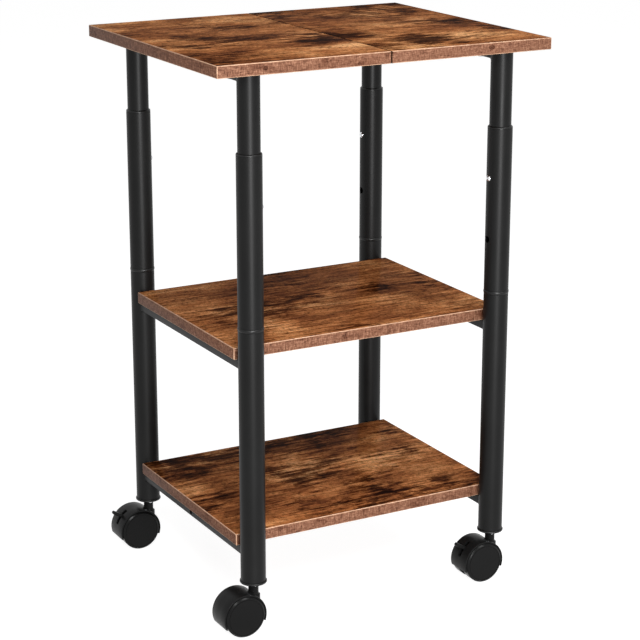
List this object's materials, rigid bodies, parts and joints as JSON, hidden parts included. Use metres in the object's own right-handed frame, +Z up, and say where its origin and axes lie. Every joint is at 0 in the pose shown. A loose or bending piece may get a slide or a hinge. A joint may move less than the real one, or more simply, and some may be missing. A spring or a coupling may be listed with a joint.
{
  "type": "printer table",
  "caption": "Square table on castors with two shelves, telescoping round legs and a two-piece wooden top, for a printer or other office machine.",
  "frame": {"origin": "on the floor, below the middle of the tabletop", "axes": "+X to the right along the tabletop's long side, +Y from the front to the back, +Z up"},
  "size_m": [0.465, 0.382, 0.726],
  "materials": {
    "rustic_wood": "rustic brown wood-grain laminate, satin",
    "black_powder_coat": "satin black powder coat",
    "black_plastic": "black moulded nylon, satin",
    "wheel_plastic": "black moulded nylon, smooth",
    "zinc_steel": "zinc plated",
    "bright_steel": "polished steel"
  },
  "bodies": {
    "lower_frame": {"lower_leg_front_left": "black_powder_coat", "lower_leg_front_right": "black_powder_coat", "lower_leg_back_left": "black_powder_coat", "lower_leg_back_right": "black_powder_coat", "upper_leg_front_left": "black_powder_coat", "upper_leg_front_right": "black_powder_coat", "upper_leg_back_left": "black_powder_coat", "upper_leg_back_right": "black_powder_coat", "leg_couplers": "black_plastic", "leg_bushes": "black_plastic", "castor_sockets": "black_plastic", "middle_shelf": "rustic_wood", "bottom_shelf": "rustic_wood", "middle_crossbar_left": "black_powder_coat", "middle_crossbar_right": "black_powder_coat", "bottom_crossbar_left": "black_powder_coat", "bottom_crossbar_right": "black_powder_coat", "shelf_screws": "zinc_steel"},
    "upper_frame": {"tabletop_left": "rustic_wood", "tabletop_right": "rustic_wood", "joining_plates": "zinc_steel", "plate_screws": "zinc_steel", "tabletop_screws": "zinc_steel", "top_crossbar_left": "black_powder_coat", "top_crossbar_right": "black_powder_coat", "inner_leg_front_left": "black_powder_coat", "inner_leg_front_right": "black_powder_coat", "inner_leg_back_left": "black_powder_coat", "inner_leg_back_right": "black_powder_coat", "snap_spring_front_left": "zinc_steel", "snap_spring_front_right": "zinc_steel", "snap_spring_back_left": "zinc_steel", "snap_spring_back_right": "zinc_steel"},
    "button_front_left": {"snap_button_front_left": "bright_steel"},
    "castor_front_left": {"castor_housing_front_left": "black_plastic", "castor_stem_front_left": "bright_steel", "castor_axle_front_left": "bright_steel"},
    "wheel_front_left_near": {"wheel_front_left_near": "wheel_plastic"},
    "wheel_front_left_far": {"wheel_front_left_far": "wheel_plastic"},
    "button_front_right": {"snap_button_front_right": "bright_steel"},
    "castor_front_right": {"castor_housing_front_right": "black_plastic", "castor_stem_front_right": "bright_steel", "castor_axle_front_right": "bright_steel"},
    "wheel_front_right_near": {"wheel_front_right_near": "wheel_plastic"},
    "wheel_front_right_far": {"wheel_front_right_far": "wheel_plastic"},
    "brake_front_right": {"brake_lever_front_right": "black_plastic"},
    "button_back_left": {"snap_button_back_left": "bright_steel"},
    "castor_back_left": {"castor_housing_back_left": "black_plastic", "castor_stem_back_left": "bright_steel", "castor_axle_back_left": "bright_steel"},
    "wheel_back_left_near": {"wheel_back_left_near": "wheel_plastic"},
    "wheel_back_left_far": {"wheel_back_left_far": "wheel_plastic"},
    "brake_back_left": {"brake_lever_back_left": "black_plastic"},
    "button_back_right": {"snap_button_back_right": "bright_steel"},
    "castor_back_right": {"castor_housing_back_right": "black_plastic", "castor_stem_back_right": "bright_steel", "castor_axle_back_right": "bright_steel"},
    "wheel_back_right_near": {"wheel_back_right_near": "wheel_plastic"},
    "wheel_back_right_far": {"wheel_back_right_far": "wheel_plastic"}
  },
  "joints": [
    {"name": "height_slide", "type": "slide", "parent": "lower_frame", "child": "upper_frame", "axis": [0, 0, 1], "range_m": [-0.08, 0], "deforming": ["snap_button_front_left", "snap_button_front_right", "snap_button_back_left", "snap_button_back_right"]},
    {"name": "button_press_front_left", "type": "slide", "parent": "upper_frame", "child": "button_front_left", "axis": [-1, 0, 0], "range_m": [0, 0.0046], "stiffness_N_per_m": 600, "deforming": ["snap_spring_front_left"]},
    {"name": "castor_swivel_front_left", "type": "hinge", "parent": "lower_frame", "child": "castor_front_left", "pos_m": [-0.178, -0.162, 0.08], "axis": [0, 0, 1], "continuous": true},
    {"name": "wheel_spin_front_left_near", "type": "hinge", "parent": "castor_front_left", "child": "wheel_front_left_near", "pos_m": [-0.198, -0.17425, 0.027], "axis": [0, 1, 0], "continuous": true},
    {"name": "wheel_spin_front_left_far", "type": "hinge", "parent": "castor_front_left", "child": "wheel_front_left_far", "pos_m": [-0.198, -0.14975, 0.027], "axis": [0, 1, 0], "continuous": true},
    {"name": "button_press_front_right", "type": "slide", "parent": "upper_frame", "child": "button_front_right", "axis": [1, 0, 0], "range_m": [0, 0.0046], "stiffness_N_per_m": 600, "deforming": ["snap_spring_front_right"]},
    {"name": "castor_swivel_front_right", "type": "hinge", "parent": "lower_frame", "child": "castor_front_right", "pos_m": [0.178, -0.162, 0.08], "axis": [0, 0, 1], "continuous": true},
    {"name": "wheel_spin_front_right_near", "type": "hinge", "parent": "castor_front_right", "child": "wheel_front_right_near", "pos_m": [0.158, -0.17425, 0.027], "axis": [0, 1, 0], "continuous": true},
    {"name": "wheel_spin_front_right_far", "type": "hinge", "parent": "castor_front_right", "child": "wheel_front_right_far", "pos_m": [0.158, -0.14975, 0.027], "axis": [0, 1, 0], "continuous": true},
    {"name": "brake_press_front_right", "type": "hinge", "parent": "castor_front_right", "child": "brake_front_right", "pos_m": [0.14561, -0.162, 0.04182], "axis": [0, -1, 0], "range_deg": [0, 15]},
    {"name": "button_press_back_left", "type": "slide", "parent": "upper_frame", "child": "button_back_left", "axis": [-1, 0, 0], "range_m": [0, 0.0046], "stiffness_N_per_m": 600, "deforming": ["snap_spring_back_left"]},
    {"name": "castor_swivel_back_left", "type": "hinge", "parent": "lower_frame", "child": "castor_back_left", "pos_m": [-0.178, 0.162, 0.08], "axis": [0, 0, 1], "continuous": true},
    {"name": "wheel_spin_back_left_near", "type": "hinge", "parent": "castor_back_left", "child": "wheel_back_left_near", "pos_m": [-0.198, 0.14975, 0.027], "axis": [0, 1, 0], "continuous": true},
    {"name": "wheel_spin_back_left_far", "type": "hinge", "parent": "castor_back_left", "child": "wheel_back_left_far", "pos_m": [-0.198, 0.17425, 0.027], "axis": [0, 1, 0], "continuous": true},
    {"name": "brake_press_back_left", "type": "hinge", "parent": "castor_back_left", "child": "brake_back_left", "pos_m": [-0.21039, 0.162, 0.04182], "axis": [0, -1, 0], "range_deg": [0, 15]},
    {"name": "button_press_back_right", "type": "slide", "parent": "upper_frame", "child": "button_back_right", "axis": [1, 0, 0], "range_m": [0, 0.0046], "stiffness_N_per_m": 600, "deforming": ["snap_spring_back_right"]},
    {"name": "castor_swivel_back_right", "type": "hinge", "parent": "lower_frame", "child": "castor_back_right", "pos_m": [0.178, 0.162, 0.08], "axis": [0, 0, 1], "continuous": true},
    {"name": "wheel_spin_back_right_near", "type": "hinge", "parent": "castor_back_right", "child": "wheel_back_right_near", "pos_m": [0.158, 0.14975, 0.027], "axis": [0, 1, 0], "continuous": true},
    {"name": "wheel_spin_back_right_far", "type": "hinge", "parent": "castor_back_right", "child": "wheel_back_right_far", "pos_m": [0.158, 0.17425, 0.027], "axis": [0, 1, 0], "continuous": true}
  ]
}
